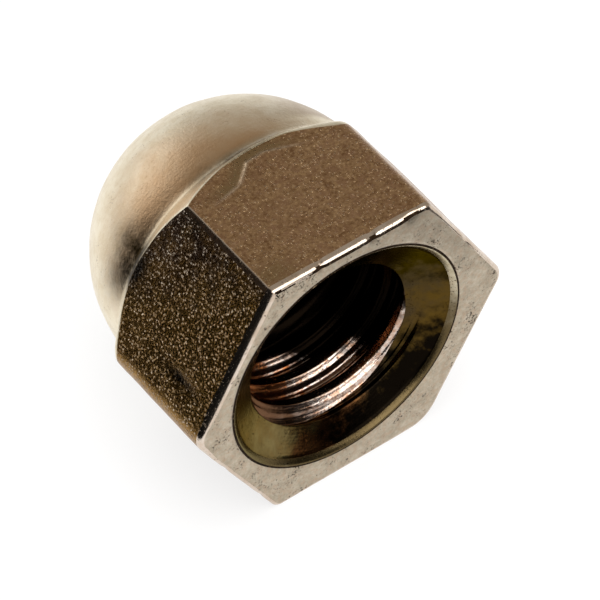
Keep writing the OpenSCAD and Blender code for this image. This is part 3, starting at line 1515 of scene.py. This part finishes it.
@dataclass(frozen=True)
class Card:
    """A patch of the studio's wall or ceiling: its direction, its spread in degrees, its light."""

    towards: Triple
    inner: float
    outer: float
    level: float


@dataclass(frozen=True)
class Lamp:
    """A rectangular lamp that faces the nut: its direction, distance, sides and power."""

    name: str
    towards: Triple
    distance: float
    sides: Pair
    power: float
    # Whether the metal mirrors it
    mirrored: bool = True

    def hang(self) -> None:
        """Puts the lamp into the scene."""
        data = bpy.data.lights.new(self.name, "AREA")
        data.shape = "RECTANGLE"
        data.size = self.sides[0] * MM
        data.size_y = self.sides[1] * MM
        data.energy = self.power
        lamp = placed(self.name, data)
        way = Vector(self.towards).normalized()
        lamp.location = way * self.distance * MM
        lamp.rotation_euler = way.to_track_quat("Z", "Y").to_euler()
        lamp.visible_glossy = self.mirrored


@dataclass
class Studio:
    """Pale floor, soft light and the camera."""

    floor_size: float = 2000.0
    paper: str = "fafafa"
    # The floor's own light: its colour, its share, and how it dims away from the nut, which paints
    # a pool of light round it
    glow: str = "ffffff"
    floor_glow: float = 0.8
    glow_near: float = 35.0
    glow_far: float = 90.0
    far_level: float = 0.65
    # The ceiling is warm and dim
    ceiling: str = "fff6e8"
    base_level: float = 0.38
    cards: tuple[Card, ...] = (
        # The walls get brighter towards the floor, and behind the nut on its left
        Card((-0.02, 0.8, -0.6), 30, 80, 0.75),
        Card((-0.38, 0.91, 0.12), 10, 36, 1.3),
        Card((0.6, 0.8, 0.1), 8, 28, 0.5),
        # Dark ends of the room, left of the nut and in front of it, and a dark beam
        Card((-0.95, -0.3, 0.1), 50, 60, 0.015),
        Card((0.0, -1.0, -0.1), 40, 55, 0.015),
        Card((-0.78, 0.468, 0.416), 14, 22, 0.015),
    )
    # Black cards that stand round the left and the front, out of the camera's sight: where
    # each starts and ends, in degrees from the front. The soft box shows between them.
    card_spans: tuple[Pair, ...] = ((-130.0, -27.0), (12.0, 52.0))
    felt: str = "141414"
    card_radius: float = 30.0
    card_height: float = 20.0
    card_steps: int = 32
    # How fast a card's outer end rises, per length of the card, and the least height of that end
    card_rate: float = 9.0
    card_least: float = 0.1
    # A wide soft box above the mouth, a small one before it, and the floor's fill
    lamps: tuple[Lamp, ...] = (
        Lamp("key", (0.076, -0.871, 0.485), 300.0, (400.0, 200.0), 0.75),
        Lamp("box", (-0.12, -0.99, 0.06), 300.0, (140.0, 140.0), 0.06),
        Lamp("fill", (0.0, 0.0, 1.0), 400.0, (400.0, 400.0), 2.0, mirrored=False),
    )
    target: Triple = (1.01, -3.32, 8.03)
    azimuth: float = -35.97
    elevation: float = 48.93
    roll: float = -0.68
    distance: float = 288.3
    sensor: float = 36.0
    lens: float = 297.7
    # What the camera can see, in shares of its distance
    clip_start: float = 0.1
    clip_end: float = 20.0

    def build(self) -> None:
        """Sets the stage."""
        self._floor()
        self._world()
        for start, end in self.card_spans:
            self._black_card(start, end)
        for lamp in self.lamps:
            lamp.hang()
        self._camera()
        bpy.context.scene.view_settings.view_transform = "Standard"

    def _floor(self) -> None:
        """A white sheet that stays white to the camera and in the metal, and keeps its shadow."""
        half = self.floor_size * MM / 2
        corners = [(-half, -half, 0), (half, -half, 0), (half, half, 0), (-half, half, 0)]
        mesh = bpy.data.meshes.new("floor")
        mesh.from_pydata(corners, [], [(0, 1, 2, 3)])
        sheet = bpy.data.materials.new("white_paper_sheet")
        tree = bare_tree(sheet)
        rays = add(tree, "ShaderNodeLightPath").outputs
        seen = arithmetic(tree, "MAXIMUM", rays["Is Camera Ray"], rays["Is Glossy Ray"])
        share = arithmetic(tree, "MULTIPLY", seen, self.floor_glow)
        paper = add(tree, "ShaderNodeBsdfDiffuse", {"Color": linear(self.paper)}).outputs[0]
        place = add(tree, "ShaderNodeTexCoord").outputs["Object"]
        away = add(tree, "ShaderNodeVectorMath", {0: place}, operation="LENGTH").outputs["Value"]
        ends = (self.glow_near * MM, self.glow_far * MM)
        shine = {"Color": linear(self.glow)}
        # The glow dims away from the nut: a painted pool of light round it
        shine["Strength"] = ranged(tree, away, ends, (1.0, self.far_level))
        glow = add(tree, "ShaderNodeEmission", shine).outputs[0]
        surface = add(tree, "ShaderNodeMixShader", {0: share, 1: paper, 2: glow}).outputs[0]
        add(tree, "ShaderNodeOutputMaterial", {"Surface": surface})
        mesh.materials.append(sheet)
        floor = placed("floor", mesh)

    def _world(self) -> None:
        """Light from the walls and the ceiling, as soft patches of one grey."""
        world = bpy.data.worlds.new("studio")
        tree = bare_tree(world)
        facing = add(tree, "ShaderNodeTexCoord").outputs["Generated"]
        light = tuple(self.base_level * part for part in linear(self.ceiling))
        for card in self.cards:
            both = {0: facing, 1: Vector(card.towards).normalized()}
            near = add(tree, "ShaderNodeVectorMath", both, operation="DOT_PRODUCT")
            ends = tuple(math.cos(math.radians(angle)) for angle in (card.outer, card.inner))
            cover = ranged(tree, near.outputs["Value"], ends, soft=True)
            light = mixed(tree, cover, light, (card.level, card.level, card.level, 1.0))
        walls = add(tree, "ShaderNodeBackground", {"Color": light, "Strength": 1.0})
        add(tree, "ShaderNodeOutputWorld", {"Surface": walls.outputs[0]})
        bpy.context.scene.world = world

    def _black_card(self, start: float, end: float) -> None:
        """A low black card that the metal mirrors, bent round part of the nut.

        Args:
            start: Where it starts, in degrees from the front.
            end: Where it ends.
        """
        steps = self.card_steps
        turns = np.radians(np.linspace(start, end, steps + 1))
        across, back = self.card_radius * np.sin(turns), -self.card_radius * np.cos(turns)
        foot = np.stack([across, back, np.zeros(steps + 1)], axis=1)
        # Its outer end slopes down, so that the metal shows no square corner
        outwards = np.linspace(0, 1, steps + 1) if end > 0 else np.linspace(1, 0, steps + 1)
        heights = self.card_height * eased((1 - outwards) * self.card_rate)
        head = np.stack([across, back, np.maximum(heights, self.card_least)], axis=1)
        faces = [(i, i + 1, i + steps + 2, i + steps + 1) for i in range(steps)]
        mesh = bpy.data.meshes.new("black_card")
        mesh.from_pydata((np.vstack([foot, head]) * MM).tolist(), [], faces)
        felt = bpy.data.materials.new("black_felt")
        tree = bare_tree(felt)
        soot = add(tree, "ShaderNodeBsdfDiffuse", {"Color": linear(self.felt)})
        add(tree, "ShaderNodeOutputMaterial", {"Surface": soot.outputs[0]})
        mesh.materials.append(felt)
        card = placed("black_card", mesh)
        card.visible_camera = False
        card.visible_diffuse = False
        card.visible_shadow = False

    def _camera(self) -> None:
        """The camera, above the nut and in front of its mouth."""
        azimuth, elevation = math.radians(self.azimuth), math.radians(self.elevation)
        level = math.cos(elevation)
        back = Vector((math.sin(azimuth) * level, -math.cos(azimuth) * level, math.sin(elevation)))
        right = Vector((math.cos(azimuth), math.sin(azimuth), 0.0))
        above = back.cross(right)
        roll = math.radians(self.roll)
        side = right * math.cos(roll) + above * math.sin(roll)
        top = above * math.cos(roll) - right * math.sin(roll)
        data = bpy.data.cameras.new("camera")
        data.sensor_width = self.sensor
        data.lens = self.lens
        data.clip_start = self.distance * MM * self.clip_start
        data.clip_end = self.distance * MM * self.clip_end
        camera = placed("camera", data)
        place = (Vector(self.target) + back * self.distance) * MM
        turned = Matrix((side, top, back)).transposed().to_4x4()
        camera.matrix_world = Matrix.Translation(place) @ turned
        bpy.context.scene.camera = camera


def main() -> None:
    """Builds the studio and the nut."""
    logging.basicConfig(level=logging.INFO, format="%(name)s: %(message)s")
    Studio().build()
    low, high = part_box(NODE)
    CapNut(low, high).build()


if __name__ == "__main__":
    main()
